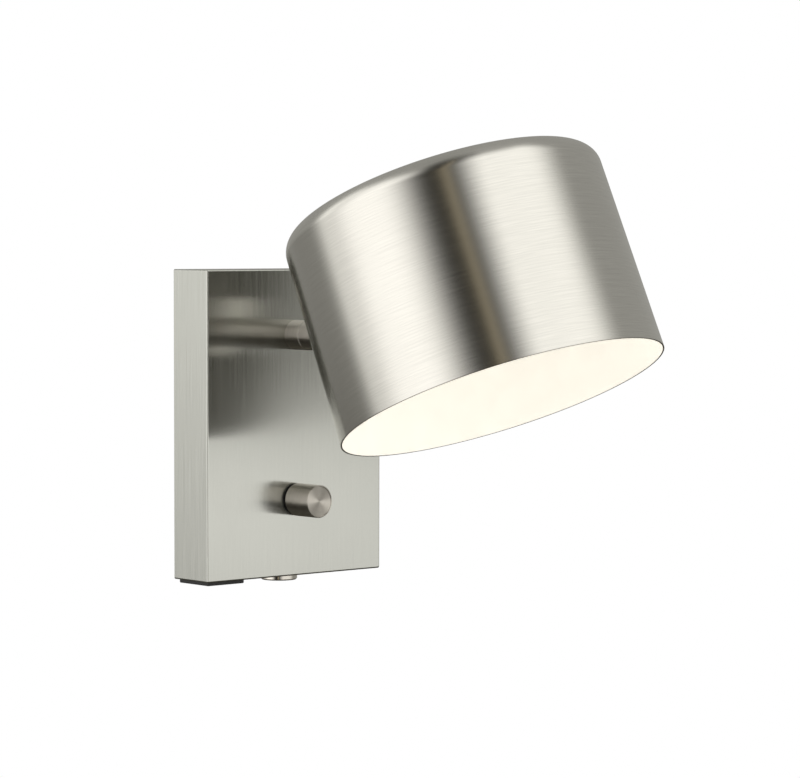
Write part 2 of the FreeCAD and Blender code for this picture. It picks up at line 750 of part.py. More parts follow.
def make_collar():
    """Fixed collar on the box front, clamped through a backing plate."""
    radius = arm_radius
    stub = box_front - collar_end
    collar = turned([(spindle_radius + shaft_gap, 0), (collar_thread / 2, 0), (collar_thread / 2, stub),
                     (radius, stub), (radius, stub + collar_length - arm_chamfer),
                     (radius - arm_chamfer, stub + collar_length),
                     (spindle_radius + shaft_gap, stub + collar_length)])
    parts["arm_collar"] = aim(collar, at(0, collar_end, arm_height), OUT)
    half = backing_size / 2
    plate = block(-half, half, backing_depth, inner_front, arm_height - half, arm_height + half)
    plate = plate.makeFillet(3.0, [e for e in plate.Edges if e.BoundBox.YLength > backing_thick / 2])
    plate = plate.cut(rod_out(0, arm_height, collar_thread / 2 + thread_gap, backing_depth, inner_front))
    pins = []
    stand_off = (stop_tab_width + stop_pin_diameter) / 2 + stop_gap
    pin_turn = swivel_limit + math.degrees(math.asin(stand_off / stop_radius))
    for side in (-1, 1):
        x = side * stop_radius * math.sin(math.radians(pin_turn))
        z = arm_height + stop_radius * math.cos(math.radians(pin_turn))
        plate = plate.cut(rod_out(x, z, stop_pin_diameter / 2, backing_depth, inner_front))
        pins.append(rod_out(x, z, stop_pin_diameter / 2, stop_washer_depth - 0.5, inner_front))
    parts["backing_plate"] = plate
    parts["swivel_stop_pins"] = pins
    lock = nut(collar_nut_flats, collar_nut_thick, collar_thread / 2 + thread_gap)
    parts["collar_nut"] = aim(lock, at(0, collar_end, arm_height), OUT)


def keyed_bore(radius, flat, thick):
    """A round hole with one flat side, up the +y side."""
    round_part = Part.makeCylinder(radius, thick)
    return round_part.cut(Part.makeBox(4 * radius, 2 * radius, thick, Vector(-2 * radius, flat, 0)))


def make_swivel():
    """Everything that turns with the arm at the collar."""
    plug = tube_inner
    shank = tube_start - spindle_end
    spindle = turned([(spindle_bore / 2, 0), (spindle_radius, 0), (spindle_radius, shank),
                      (plug, shank), (plug, shank + spindle_plug), (spindle_bore / 2, shank + spindle_plug)])
    flat_length = collar_end - spindle_end
    flat = Part.makeBox(spindle_thread, spindle_thread, flat_length,
                        Vector(-spindle_radius, spindle_flat, 0))
    spindle = aim(spindle.cut(flat), at(0, spindle_end, arm_height), OUT)
    parts["swivel_spindle"] = on_arm(spindle)
    ring = washer(arm_radius - arm_chamfer, spindle_radius + shaft_gap,
                  swivel_washer_thick - seat_gap)
    parts["swivel_washer"] = on_arm(aim(ring, at(0, seam_depth + seat_gap, arm_height), OUT))
    bore = keyed_bore(spindle_radius + thread_gap, spindle_flat + thread_gap, stop_washer_thick)
    stop = Part.makeCylinder(spindle_radius + 3.0, stop_washer_thick)
    tab = Part.makeBox(stop_tab_width, stop_radius + stop_pin_diameter / 2, stop_washer_thick,
                       Vector(-stop_tab_width / 2, 0, 0))
    stop = stop.fuse(tab).cut(bore).removeSplitter()
    parts["stop_washer"] = on_arm(aim(stop, at(0, stop_washer_depth, arm_height), OUT))
    spring = turned([(spindle_radius + thread_gap, 0), (spindle_radius + 2.6, 0),
                     (spindle_radius + 2.6, spring_washer_thick), (spindle_radius + thread_gap,
                                                                  spring_washer_thick)])
    parts["swivel_spring_washer"] = on_arm(aim(spring, at(0, spring_washer_depth, arm_height), OUT))
    lock = nut(swivel_nut_flats, swivel_nut_thick, spindle_radius + thread_gap)
    parts["swivel_nut"] = on_arm(aim(lock, at(0, swivel_nut_depth, arm_height), OUT))


def make_arm_tube():
    length = tube_end - tube_start
    tube = turned([(tube_inner, 0), (arm_radius - arm_chamfer, 0), (arm_radius, arm_chamfer),
                   (arm_radius, length), (tube_inner, length)])
    parts["arm_tube"] = on_arm(aim(tube, at(0, tube_start, arm_height), OUT))
    neck = rod_out(0, arm_height, arm_radius, tube_end, neck_depth)
    spigot = rod_out(0, arm_height, tube_inner, tube_end - knuckle_spigot, tube_end)
    cheeks = block(-cheek, cheek, neck_depth, pivot_depth, arm_height - cheek, arm_height + cheek)
    nose = Part.makeCylinder(cheek, 2 * cheek, at(-cheek, pivot_depth, arm_height), RIGHT)
    knuckle = neck.fuse(spigot).fuse(cheeks).fuse(nose)
    half_gap = knuckle_gap / 2
    knuckle = knuckle.cut(block(-half_gap, half_gap, neck_depth, pivot_depth + cheek + 1,
                                arm_height - cheek - 1, arm_height + cheek + 1))
    knuckle = knuckle.cut(rod_out(0, arm_height, knuckle_bore / 2, tube_end - knuckle_spigot, neck_depth))
    screw_hole = Part.makeCylinder(tilt_screw_size / 2 + thread_gap, 2 * cheek,
                                   at(-cheek, pivot_depth, arm_height), RIGHT)
    parts["arm_knuckle"] = on_arm(knuckle.cut(screw_hole).removeSplitter())


def make_tilt_fixings():
    """Shoulder screws and washers each side of the knuckle: the ears turn on the shoulders."""
    screws = []
    washers = []
    springs = []
    thread_length = cheek - knuckle_gap / 2
    shoulder = screw_face - cheek
    for side in (-1, 1):
        way = RIGHT * side
        centre = at(0, pivot_depth, arm_height)
        screw = turned([(0, -thread_length), (tilt_screw_size / 2, -thread_length),
                        (tilt_screw_size / 2, 0), (tilt_shoulder / 2, 0), (tilt_shoulder / 2, shoulder),
                        (tilt_head / 2, shoulder), (tilt_head / 2, shoulder + tilt_head_thick - 0.6),
                        (tilt_head / 2 - 0.6, shoulder + tilt_head_thick),
                        (0, shoulder + tilt_head_thick)])
        drive = hexagon(2.5, 1.6)
        drive.translate(Vector(0, 0, shoulder + tilt_head_thick - 1.6))
        screws.append(on_arm(aim(screw.cut(drive), centre + way * cheek, way)))
        pad = washer(tilt_washer_size / 2, tilt_shoulder / 2 + shaft_gap, tilt_washer_thick)
        washers.append(on_arm(aim(pad, centre + way * cheek, way)))
        spring = washer(tilt_spring_size / 2, tilt_shoulder / 2 + shaft_gap, tilt_spring_thick)
        springs.append(on_arm(aim(spring, centre + way * spring_face, way)))
    parts["tilt_screws"] = screws
    parts["tilt_friction_washers"] = washers
    parts["tilt_spring_washers"] = springs


# ---------------------------------------------------------------- shade and lamp

def drum(inset):
    """The shade's solid outline, drawn in all round by an inset."""
    height = shade_height - inset
    body = Part.makeCone(shade_mouth_radius - inset, shade_mouth_radius - shade_draft - inset, height)
    top = [edge for edge in body.Edges if edge.BoundBox.ZMin > height - 0.1]
    return body.makeFillet(shade_round - inset, top)


def make_shade():
    shell = drum(0).cut(drum(shade_sheet))
    neck_grow = arm_radius / math.cos(math.radians(tilt_high)) - arm_radius
    low_grow = arm_radius / math.cos(math.radians(tilt_low)) - arm_radius
    low = pivot_up + pivot_inset * math.tan(math.radians(tilt_low)) - low_grow
    high = pivot_up + pivot_inset * math.tan(math.radians(tilt_high)) + neck_grow
    radius = arm_radius + slot_gap
    start = shade_radius(high) / 2
    reach = shade_mouth_radius
    cutter = Part.makeBox(2 * radius, reach, high - low, Vector(-radius, start, low))
    for height in (low, high):
        cutter = cutter.fuse(Part.makeCylinder(radius, reach, Vector(0, start, height), Vector(0, 1, 0)))
    parts["shade"] = on_head(shell.cut(cutter.removeSplitter()))


def stud_places():
    for turn in (90, 210, 330):
        yield (stud_circle * math.cos(math.radians(turn)), stud_circle * math.sin(math.radians(turn)))


def make_carrier():
    """Bracket under the shade's top, with two ears that reach back and down to the knuckle."""
    plate = Part.makeCylinder(carrier_radius, carrier_sheet, Vector(0, 0, carrier_face))
    ear_front = pivot_back - ear_boss + 1.0
    ear_back = ear_front + ear_width
    strip = Part.makeBox(2 * ear_outer, ear_back, carrier_sheet, Vector(-ear_outer, 0, carrier_face))
    carrier = plate.fuse(strip)
    for left in (-ear_outer, ear_inner):
        ear = Part.makeBox(carrier_sheet, ear_width, shade_ceiling - pivot_up,
                           Vector(left, ear_front, pivot_up))
        boss = Part.makeCylinder(ear_boss, carrier_sheet, Vector(left, pivot_back, pivot_up), RIGHT)
        carrier = carrier.fuse(ear).fuse(boss)
    hole = Part.makeCylinder(tilt_shoulder / 2 + shaft_gap, 2 * ear_outer + 2,
                             Vector(-ear_outer - 1, pivot_back, pivot_up), RIGHT)
    carrier = carrier.cut(hole)
    studs = []
    nuts = []
    for x, y in stud_places():
        carrier = carrier.cut(Part.makeCylinder(stud_size / 2 + screw_hole_gap, carrier_sheet,
                                                Vector(x, y, carrier_face)))
        studs.append(on_head(Part.makeCylinder(stud_size / 2, stud_length,
                                               Vector(x, y, shade_ceiling - stud_length))))
        lock = nut(stud_nut_flats, stud_nut_thick, stud_size / 2 + thread_gap)
        nuts.append(on_head(aim(lock, Vector(x, y, carrier_face), DOWN)))
    for x in (-holder_post_offset, holder_post_offset):
        carrier = carrier.cut(Part.makeCylinder(holder_screw_size / 2 + thread_gap, carrier_sheet,
                                                Vector(x, 0, carrier_face)))
    parts["shade_carrier"] = on_head(carrier.removeSplitter())
    parts["shade_studs"] = studs
    parts["stud_nuts"] = nuts


def make_lamp_holder():
    web_low = holder_low + holder_recess
    web_high = web_low + holder_web
    bore = holder_radius - holder_ring
    rim = turned([(0, web_low), (bore, web_low), (bore, holder_low), (holder_radius - 1.0, holder_low),
                  (holder_radius, holder_low + 1.0), (holder_radius, carrier_face),
                  (bore, carrier_face), (bore, web_high), (0, web_high)])
    screw_length = carrier_face - web_low + carrier_sheet
    screws = []
    for x in (-holder_post_offset, holder_post_offset):
        post = Part.makeCylinder(holder_post, carrier_face - web_high, Vector(x, 0, web_high))
        rim = rim.fuse(post)
    for x in (-holder_post_offset, holder_post_offset):
        rim = rim.cut(Part.makeCylinder(holder_screw_size / 2 + screw_hole_gap, holder_height,
                                        Vector(x, 0, web_low)))
        screw = pan_screw(holder_screw_size, holder_screw_head, holder_screw_head_thick, screw_length)
        screws.append(on_head(aim(screw, Vector(x, 0, web_low), DOWN)))
    pin_bore = lamp_pin_head / 2 + 0.4
    for x in (-lamp_pin_spacing / 2, lamp_pin_spacing / 2):
        rim = rim.cut(Part.makeCylinder(pin_bore, lamp_pin_length + 0.6, Vector(x, 0, holder_low)))
    notch_half = lamp_lead_size / 2 + 0.5
    notch = Part.makeBox(2 * notch_half, holder_ring + 2, carrier_face - web_high,
                         Vector(-notch_half, bore - 1, web_high))
    parts["lamp_holder"] = on_head(rim.cut(notch).removeSplitter())
    parts["holder_screws"] = screws


def make_lamp():
    """Flat disc lamp with two pins: body, pins and a domed light cover."""
    top = holder_low - seat_gap
    inner = lamp_cover_radius + 0.1
    seat = lamp_low + 4.0
    body = turned([(0, seat), (inner, seat), (inner, lamp_low), (lamp_radius - 0.8, lamp_low),
                   (lamp_radius, lamp_low + 0.8), (lamp_radius, top - 2.5), (lamp_radius - 3.0, top),
                   (0, top)])
    parts["lamp_body"] = on_head(body)
    cover = Part.makeCylinder(lamp_cover_radius, lamp_cover_height, Vector(0, 0, seat - lamp_cover_height))
    low_rim = [e for e in cover.Edges if e.BoundBox.ZMax < seat - lamp_cover_height + 0.1]
    cover = cover.makeFillet(min(lamp_cover_round, lamp_cover_height - 1.0), low_rim)
    parts["lamp_cover"] = on_head(cover)
    pins = []
    for x in (-lamp_pin_spacing / 2, lamp_pin_spacing / 2):
        pin = turned([(0, 0), (lamp_pin_diameter / 2, 0), (lamp_pin_diameter / 2, lamp_pin_length - 2.4),
                      (lamp_pin_head / 2, lamp_pin_length - 2.4), (lamp_pin_head / 2, lamp_pin_length),
                      (0, lamp_pin_length)])
        pin.translate(Vector(x, 0, top))
        pins.append(on_head(pin))
    parts["lamp_pins"] = pins


def make_head_lead():
    """The lead from the knuckle to the lamp holder, straight in line with the arm at the pivot."""
    pivot = head_point(0, pivot_back, pivot_up)
    web_high = holder_low + holder_recess + holder_web
    entry = web_high + (carrier_face - web_high) / 2
    clear = lamp_radius + lamp_lead_size + 3.0
    route = [pivot + OUT * 0.6,
             pivot + OUT * 14.0,
             head_point(0, clear, pivot_up + 8.0),
             head_point(0, clear + 0.5, entry),
             head_point(0, holder_radius - holder_ring - 3.0, entry)]
    parts["lamp_lead_head"] = on_arm(tube_along(route, lamp_lead_size))


# ---------------------------------------------------------------- build and write

parts["wall_plate"] = make_wall_plate()
parts["box_cover"] = make_box_cover()
parts["cover_screws"] = make_cover_screws()
make_earth_fixing()
make_terminal_block()
make_leads()
make_dimmer()
make_switch()
make_socket()
make_collar()
make_swivel()
make_arm_tube()
make_tilt_fixings()
make_shade()
make_carrier()
make_lamp_holder()
make_lamp()
make_head_lead()

os.makedirs("parts", exist_ok=True)
for name, piece in parts.items():
    solids = piece if isinstance(piece, list) else [piece]
    whole = Part.makeCompound([solid for item in solids for solid in item.Solids])
    count = len(whole.Solids)
    print(name, count, "valid" if whole.isValid() else "NOT VALID", round(whole.Volume, 1))
    (whole.Solids[0] if count == 1 else whole).exportStep("parts/" + name + ".step")
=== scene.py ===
import cmath
import json
import math

import bmesh
import bpy
from mathutils import Matrix, Vector


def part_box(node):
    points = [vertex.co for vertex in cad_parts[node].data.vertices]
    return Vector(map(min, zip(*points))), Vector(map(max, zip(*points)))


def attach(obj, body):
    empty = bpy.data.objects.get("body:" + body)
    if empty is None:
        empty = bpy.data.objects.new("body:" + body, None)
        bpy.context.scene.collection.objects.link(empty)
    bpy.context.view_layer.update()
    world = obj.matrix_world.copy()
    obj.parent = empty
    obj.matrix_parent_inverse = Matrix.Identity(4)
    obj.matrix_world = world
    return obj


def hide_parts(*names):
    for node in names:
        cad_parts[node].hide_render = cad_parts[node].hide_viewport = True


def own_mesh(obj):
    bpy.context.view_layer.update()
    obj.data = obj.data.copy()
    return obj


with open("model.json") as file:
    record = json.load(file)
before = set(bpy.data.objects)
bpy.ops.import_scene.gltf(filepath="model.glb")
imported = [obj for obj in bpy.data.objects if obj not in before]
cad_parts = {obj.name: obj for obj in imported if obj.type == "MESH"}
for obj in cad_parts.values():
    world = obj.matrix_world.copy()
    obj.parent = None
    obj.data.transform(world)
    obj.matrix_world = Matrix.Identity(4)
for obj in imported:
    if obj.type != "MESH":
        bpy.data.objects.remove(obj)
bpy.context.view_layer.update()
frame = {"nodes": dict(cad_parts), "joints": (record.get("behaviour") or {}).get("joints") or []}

# A wall-mounted reading lamp in brushed nickel. Metres. The wall is the plane y = 0, the room lies
# at negative y and +z is up. An azimuth is seen from above: 0 points into the room, 90 along +x.

MM = 0.001

# ---------------------------------------------------------------- sizes

# wall box
FOLD_RADIUS = 0.8 * MM         # outside radius of the folds
FOLD_STEPS = 6
BOX_SHEET = 1.0 * MM
CUT_REACH = 10.0 * MM          # how far the cutters run on past the sheet
ARM_HOLE = 6.05 * MM           # radii of the round holes in the front
DIMMER_HOLE = 3.55 * MM
SOCKET_HOLE = 9.7 * MM         # half the side of the square hole in the bottom
HEAD_GAP = 0.05 * MM           # round the heads of the cover screws
SINK_DEPTH = 1.2 * MM          # of their countersinks
SCREW_BORE = 1.55 * MM         # radius

# arm
ARM_WALL = 1.0 * MM
ARM_CHAMFER = 0.4 * MM
ARM_SOFTENING = 0.05 * MM      # rounds the edges of the chamfers
STUB_RADIUS = 6.0 * MM         # of the collar's stub in the box's front
SPINDLE_BORE = 4.0 * MM        # radius of the collar's bore

# shade
SHADE_RADIUS = 77.0 * MM       # outside, at the mouth
SHADE_HEIGHT = 100.0 * MM
SHADE_DRAFT = 1.5 * MM         # how much smaller the radius is at the top
SHADE_SLOPE = SHADE_DRAFT / SHADE_HEIGHT
SHADE_SHEET = 0.8 * MM
SHADE_ROUND = 9.0 * MM         # outside radius between wall and top
SHADE_ROUND_STEPS = 16
SHADE_LIP = 0.15 * MM          # broken edges of the mouth
SHADE_COLUMNS = 256
PIVOT_UP = 53.0 * MM           # tilt pivot above the mouth, along the shade's axis
PIVOT_INSET = 14.0 * MM        # tilt pivot inside the rear wall's outer face
SLOT_LOW = 53.0 * MM           # centres of the rear slot's round ends, above the mouth
SLOT_HIGH = 70.0 * MM
SLOT_HALF = 7.85 * MM          # half the slot's width
SLOT_STEPS = 24                # round each end
SLOT_REACH = 30.0 * MM         # length of the slot's cutter, half of it outside the wall
PAINTED_GLOW_LOW = 36.0 * MM          # the inside's painted lamplight is full up to here, and none above the next, where the inside is painted as shaded
PAINTED_GLOW_HIGH = 60.0 * MM

# dimmer knob
KNOB_EDGE = 0.3 * MM           # chamfer round the face
KNOB_RIM = 0.6 * MM            # from the knob's side to the slope of the dish
KNOB_SLOPE = 0.2 * MM          # width of that slope
KNOB_DISH = 0.3 * MM           # depth
KNOB_SHADOW_RING = 1.0 * MM           # black ring behind the knob's skirt, painted shadow of the gap to the box
KNOB_STEP = 0.35 * MM          # how far that painted-shadow ring lies inside the skirt
KNOB_RECESS = 6.5 * MM         # radius of the hollow in the knob's back
KNOB_RECESS_DEPTH = 5.0 * MM

# push button and its bezel
BEZEL_HEIGHT = 2.8 * MM
BEZEL_CHAMFER = 0.6 * MM
BEZEL_SOFTENING = 0.1 * MM     # rounds the edges of the chamfer
BEZEL_LIP = 2.4 * MM           # height of the narrow bore that guides the button
BARREL_RADIUS = 8.0 * MM
BARREL_WALL = 1.2 * MM
BUTTON_BORE = 6.1 * MM         # radius of the narrow bore
BUTTON_RADIUS = 6.0 * MM
BUTTON_EDGE = 0.4 * MM
BUTTON_SHOULDER = 2.25 * MM    # height of the flange that holds the button in
BUTTON_SKIRT = 5.0 * MM        # radius of the hollow round the spring
BUTTON_FLOOR = 3.0 * MM        # height of the hollow's floor
SPRING_WIRE = 1.0 * MM
SPRING_TURNS = 5
SPRING_STEPS = 24              # round one turn
SPRING_SIDES = 10              # round the wire

# finishes
STROKE_DEPTH = 0.001 * MM
STROKE_SIZE = (14.0 * MM, 0.5 * MM)      # length and width of brush strokes, where not given
GRAIN_SIZE = 0.25 * MM
GRAIN_DEPTH = 0.02 * MM
GRAIN_RELIEF = 0.4
STROKE_DETAIL = 3.0            # octaves of the noise
STROKE_BREAKUP = 0.65          # how strong the finer octaves are
STROKE_RELIEF = 0.5
METAL_CLOUDS = 22.0            # per metre, faint changes of brightness over a surface
METAL_CLOUD_DEPTH = 0.015      # each way, as a share of the colour
PLAIN_CLOUDS = 90.0
PLAIN_DARKEST = 0.94           # shares of the colour
PLAIN_LIGHTEST = 1.05
PLAIN_WANDER = 0.05            # each way, in roughness
NOISE_LOW = 0.3                # most values of a noise lie between these
NOISE_HIGH = 0.7
ASPECT_SHARE = 0.9             # the renderer's aspect of a highlight is sqrt(1 - 0.9 anisotropy)
PAINT_ROUGHNESS = 0.5
# painted lamplight on the shade's white inside, which is no lamp
INSIDE_PAINTED_GLOW = 0.46
COVER_GLOW = 0.5

# meshes
TURN_COLUMNS = 160             # round a turned piece, where not given
CORNER_STEPS = 5               # in a rounded corner, where not given
FINE_STEPS = 2                 # in the tiny roundings of the arm's chamfers
CUTTER_SIDES = 48
ON_AXIS = 1e-7                 # smaller radii and steps are nothing
NEARLY = 1e-6                  # the same for places read back from a mesh
FLUSH = 1e-5                   # closer to the shade's top than this is on it

# ---------------------------------------------------------------- places read from the frame

joints = {joint["name"]: joint for joint in frame["joints"]}
pivot = Vector(joints["shade_tilt"]["pos_m"])
arm_centre = Vector((0, 0, pivot.z))
swivel = -math.radians(sum(joints["arm_swivel"]["range_deg"]) / 2)
tilt = -math.radians(joints["shade_tilt"]["range_deg"][0])
pivot_back = SHADE_RADIUS - SHADE_SLOPE * PIVOT_UP - PIVOT_INSET

ON_ARM = (Matrix.Translation(arm_centre) @ Matrix.Rotation(swivel, 4, "Y")
          @ Matrix.Translation(-arm_centre))
ON_HEAD = (ON_ARM @ Matrix.Translation(pivot) @ Matrix.Rotation(-tilt, 4, "X")
           @ Matrix.Translation((0, -pivot_back, -PIVOT_UP)))
FACING_OUT = Matrix.Rotation(math.radians(90), 4, "X")
FACING_DOWN = Matrix.Rotation(math.pi, 4, "X")


# ---------------------------------------------------------------- materials

def node(tree, kind, inputs=(), **settings):
    """A new shader node with its settings. An input is a value or another node's output."""
    made = tree.nodes.new("ShaderNode" + kind)
    for name, value in settings.items():
        setattr(made, name, value)
    for key, value in (inputs.items() if isinstance(inputs, dict) else enumerate(inputs)):
        if isinstance(value, bpy.types.NodeSocket):
            tree.links.new(value, made.inputs[key])
        elif value is not None:
            made.inputs[key].default_value = value
    return made


def calc(tree, operation, *inputs):
    """The result of a math node."""
    return node(tree, "Math", inputs, operation=operation).outputs[0]


def blank(name, **constants):
    """A material whose principled shader has these constants."""
    made = bpy.data.materials.new(name)
    made.use_nodes = True
    shader = made.node_tree.nodes["Principled BSDF"]
    for key, value in constants.items():
        shader.inputs[key.replace("_", " ")].default_value = value
    return made, made.node_tree, shader


def spread(tree, value, low, high):
    """A noise value around one half, stretched to run from low to high."""
    return node(tree, "MapRange", [value, NOISE_LOW, NOISE_HIGH, low, high]).outputs[0]


def tint(tree, colour, factor):
    """A colour times a factor that varies over the surface."""
    return node(tree, "VectorMath", {0: colour, "Scale": factor}, operation="SCALE").outputs[0]


def brushed(name, colour, along, across, stroke=STROKE_SIZE, contrast=0.04, wander=0.02):
    """Brushed metal. The strokes run along u of the UV map, which is in metres.

    along and across are the microfacet spreads in the two directions. Blender's tangent is the
    direction of the wide spread, so it is turned a quarter from the strokes. wander is how far the
    strokes differ in roughness, since deep strokes spread the light more than fine ones.
    """
    roughness = (along * across) ** 0.25
    made, tree, shader = blank(name, Metallic=1.0, Anisotropic=(1 - along / across) / ASPECT_SHARE,
                               Anisotropic_Rotation=0.25)
    place = node(tree, "TexCoord").outputs["UV"]
    squeezed = node(tree, "VectorMath", [place, (1 / stroke[0], 1 / stroke[1], 1)],
                    operation="MULTIPLY").outputs[0]
    grain = node(tree, "TexNoise", {"Vector": squeezed, "Scale": 1.0,
                                    "Detail": STROKE_DETAIL, "Roughness": STROKE_BREAKUP},
                 noise_dimensions="2D").outputs[0]
    clouds = node(tree, "TexNoise", {"Vector": place, "Scale": METAL_CLOUDS, "Detail": 2.0},
                  noise_dimensions="2D").outputs[0]
    shade = calc(tree, "MULTIPLY", spread(tree, grain, 1 - contrast, 1 + contrast),
                 spread(tree, clouds, 1 - METAL_CLOUD_DEPTH, 1 + METAL_CLOUD_DEPTH))
    tree.links.new(tint(tree, colour, shade), shader.inputs["Base Color"])
    tree.links.new(spread(tree, grain, roughness - wander, roughness + wander),
                   shader.inputs["Roughness"])
    relief = node(tree, "Bump", {"Strength": STROKE_RELIEF, "Distance": STROKE_DEPTH,
                                  "Height": grain})
    tree.links.new(relief.outputs[0], shader.inputs["Normal"])
    tangent = node(tree, "Tangent", direction_type="UV_MAP")
    tree.links.new(tangent.outputs[0], shader.inputs["Tangent"])
    return made


def moulded(name, colour, roughness, metallic=0.0, **constants):
    """Plastic, paint or plated sheet with a fine grain in its height, colour and gloss."""
    made, tree, shader = blank(name, Metallic=metallic, **constants)
    place = node(tree, "TexCoord").outputs["Object"]
    grain = node(tree, "TexNoise", {"Vector": place, "Scale": 1 / GRAIN_SIZE,
                                    "Detail": 2.0}).outputs[0]
    clouds = node(tree, "TexNoise", {"Vector": place, "Scale": PLAIN_CLOUDS,
                                     "Detail": 3.0}).outputs[0]
    tree.links.new(tint(tree, colour, spread(tree, clouds, PLAIN_DARKEST, PLAIN_LIGHTEST)),
                   shader.inputs["Base Color"])
    tree.links.new(spread(tree, clouds, roughness - PLAIN_WANDER, roughness + PLAIN_WANDER),
                   shader.inputs["Roughness"])
    relief = node(tree, "Bump", {"Strength": GRAIN_RELIEF, "Distance": GRAIN_DEPTH,
                                  "Height": grain})
    tree.links.new(relief.outputs[0], shader.inputs["Normal"])
    return made


def lamp_or_painted_glow(name, colour, light, strength):
    """Frosted plastic that gives off the lamp's own light, or white paint given painted lamplight.
    """
    made = moulded(name, colour, PAINT_ROUGHNESS, Emission_Strength=strength)
    made.node_tree.nodes["Principled BSDF"].inputs["Emission Color"].default_value = light
    return made


def fade_painted_glow_upward(material, strength):
    """Keeps the painted lamplight to the part of the shade's inside that lies below the lamp, so
    that the part above it looks shaded.
    """
    tree = material.node_tree
    up = node(tree, "SeparateXYZ", [node(tree, "TexCoord").outputs["UV"]]).outputs["Y"]
    painted_glow_strength = node(tree, "MapRange", [up, PAINTED_GLOW_LOW - SHADE_RADIUS, PAINTED_GLOW_HIGH - SHADE_RADIUS,
                                  strength, 0.0])
    tree.links.new(painted_glow_strength.outputs[0], tree.nodes["Principled BSDF"].inputs["Emission Strength"])


nickel_box = brushed("nickel_box", (0.642, 0.651, 0.620), 0.015, 0.10,
                     stroke=(50 * MM, 0.6 * MM), contrast=0.05, wander=0.03)
nickel_arm = brushed("nickel_arm", (0.66, 0.63, 0.58), 0.04, 0.35)
nickel_shade = brushed("nickel_shade", (0.72, 0.71, 0.675), 0.02, 0.12,
                       stroke=(24 * MM, 0.55 * MM), contrast=0.05, wander=0.01)
nickel_knob = brushed("nickel_knob", (0.73, 0.695, 0.64), 0.04, 0.30)
nickel_button = brushed("nickel_button", (0.72, 0.69, 0.64), 0.012, 0.02, contrast=0.02)
zinc = moulded("zinc_sheet", (0.62, 0.64, 0.66), 0.35, metallic=1.0)
steel = moulded("screw_steel", (0.58, 0.59, 0.61), 0.28, metallic=1.0)
brass = moulded("brass_fittings", (0.78, 0.62, 0.30), 0.25, metallic=1.0)
nylon = moulded("white_nylon", (0.82, 0.81, 0.77), 0.5)
# black plastic of the socket, dimmer and switch; on the knob's back and foot it is painted shadow
black = moulded("black_plastic", (0.02, 0.02, 0.022), 0.42)
board = moulded("board_green", (0.04, 0.20, 0.10), 0.35)
dark = moulded("component_dark", (0.05, 0.045, 0.045), 0.4)
sheath = moulded("lead_sheath", (0.80, 0.79, 0.76), 0.55)
lamp_white = moulded("lamp_white", (0.86, 0.85, 0.81), 0.45)
# painted lamplight on the shade's white inside; the frosted cover below is the lamp itself
inside_painted_glow = lamp_or_painted_glow("inside_painted_glow", (0.88, 0.87, 0.84), (1.0, 0.945, 0.83, 1), INSIDE_PAINTED_GLOW)
frosted = lamp_or_painted_glow("frosted_cover", (0.72, 0.70, 0.65), (1.0, 0.94, 0.80, 1), COVER_GLOW)
fade_painted_glow_upward(inside_painted_glow, INSIDE_PAINTED_GLOW)


# ---------------------------------------------------------------- mesh helpers

class Row:
    """A point of a half section, with the facing of the stretches before and after it."""

    def __init__(self, point, before, after, slot):
        self.point = point
        self.before = before
        self.after = after
        self.slot = slot


def outline(corners, closed=False, steps=CORNER_STEPS):
    """The rows of a half section from its corners: (radius, height, rounding, material slot).

    The section is a path of complex numbers, radius + height * 1j, that keeps the metal on its
    left. Each corner is rounded by its own radius, and its slot is that of the stretch after it.
    """
    places = [complex(corner[0], corner[1]) for corner in corners]
    count = len(corners)
    rows = []
    for n, (_, _, rounding, slot) in enumerate(corners):
        here = places[n]
        back = here - places[n - 1]
        ahead = places[(n + 1) % count] - here
        if not closed and n == 0:
            back = ahead
        if not closed and n == count - 1:
            ahead = back
        back /= abs(back)
        ahead /= abs(ahead)
        turn = cmath.phase(ahead / back)
        if rounding == 0 or abs(turn) < NEARLY:
            rows.append(Row(here, back * -1j, ahead * -1j, slot))
            continue
        start = here - back * rounding * math.tan(abs(turn) / 2)
        centre = start + back * 1j * math.copysign(rounding, turn)
        for step in range(steps + 1):
            swing = cmath.exp(1j * turn * step / steps)
            facing = back * -1j * swing
            rows.append(Row(centre + (start - centre) * swing, facing, facing, slot))
    if closed:
        first = rows[0]
        rows.append(Row(first.point, first.before, first.after, first.slot))
    return rows


def placed(name, mesh):
    """A new object in the scene."""
    made = bpy.data.objects.new(name, mesh)
    bpy.context.scene.collection.objects.link(made)
    return made


def mesh_of(name, bm):
    """The mesh that a bmesh holds, which is freed."""
    mesh = bpy.data.meshes.new(name)
    bm.to_mesh(mesh)
    bm.free()
    return mesh


def new_piece(name, vertices, faces, slots, uvs, normals, materials):
    """A mesh object from its lists. UVs and normals are given for each corner of each face."""
    mesh = bpy.data.meshes.new(name)
    mesh.from_pydata(vertices, [], faces)
    mesh.polygons.foreach_set("material_index", slots)
    mesh.polygons.foreach_set("use_smooth", [True] * len(faces))
    layer = mesh.uv_layers.new(name="strokes")
    layer.data.foreach_set("uv", [value for uv in uvs for value in uv])
    mesh.update()
    mesh.normals_split_custom_set(normals)
    for material in materials:
        mesh.materials.append(material)
    return placed(name, mesh)


